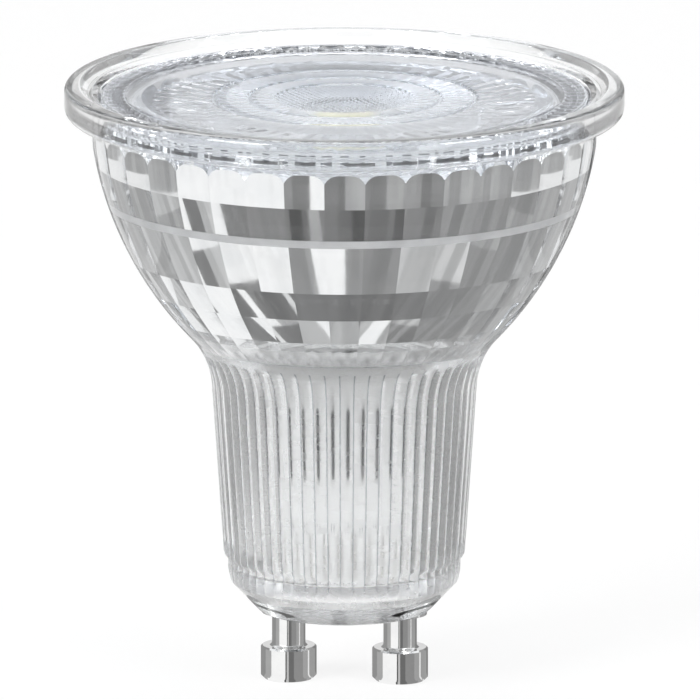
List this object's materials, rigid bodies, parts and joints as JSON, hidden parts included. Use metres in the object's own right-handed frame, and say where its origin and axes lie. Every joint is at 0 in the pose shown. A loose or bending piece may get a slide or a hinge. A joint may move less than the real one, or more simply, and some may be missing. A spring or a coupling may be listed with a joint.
{
  "type": "led reflector bulb",
  "caption": "Clear pressed-glass LED spotlight bulb with a faceted silvered bowl, reeded neck, clear front lens and a two-pin twist-lock base.",
  "frame": {"origin": "on the lamp's axis, level with the tips of the contact pins", "axes": "+Z along the lamp's axis from the pins to the lens, X through both pins"},
  "size_m": [0.05, 0.05, 0.0544],
  "materials": {
    "pressed_glass": "fire-polished outside, silvered on the facets inside, satin inside the neck",
    "clear_lens": "moulded, polished",
    "clear_sealant": "clear silicone",
    "spreader_aluminium": "pressed sheet",
    "white_board": "white solder mask",
    "white_dam": "white silicone",
    "phosphor": "yellow phosphor in silicone",
    "driver_laminate": "white solder mask on laminate",
    "solder": "tin solder",
    "choke_body": "black, moulded",
    "capacitor_sleeve": "dark sleeve on a can",
    "black_package": "moulded",
    "film_dip": "dipped lacquer",
    "resistor_coat": "flameproof coat",
    "chip_resistor": "glazed ceramic chip",
    "tinned_wire": "tinned copper",
    "nickel_plate": "bright nickel on brass"
  },
  "bodies": {
    "root": {"glass_body": "pressed_glass", "front_lens": "clear_lens", "lens_bead": "clear_sealant", "heat_spreader": "spreader_aluminium", "led_board": "white_board", "led_dam": "white_dam", "led_phosphor": "phosphor", "driver_board": "driver_laminate", "solder_joint_left": "solder", "solder_joint_right": "solder", "choke": "choke_body", "bulk_capacitor": "capacitor_sleeve", "bridge_rectifier": "black_package", "driver_chip": "black_package", "film_capacitor": "film_dip", "fuse_resistor": "resistor_coat", "output_diode": "black_package", "chip_resistor_left": "chip_resistor", "chip_resistor_middle": "chip_resistor", "chip_resistor_right": "chip_resistor", "supply_lead_left": "tinned_wire", "supply_lead_right": "tinned_wire", "contact_pin_left": "nickel_plate", "contact_pin_right": "nickel_plate"}
  },
  "joints": []
}
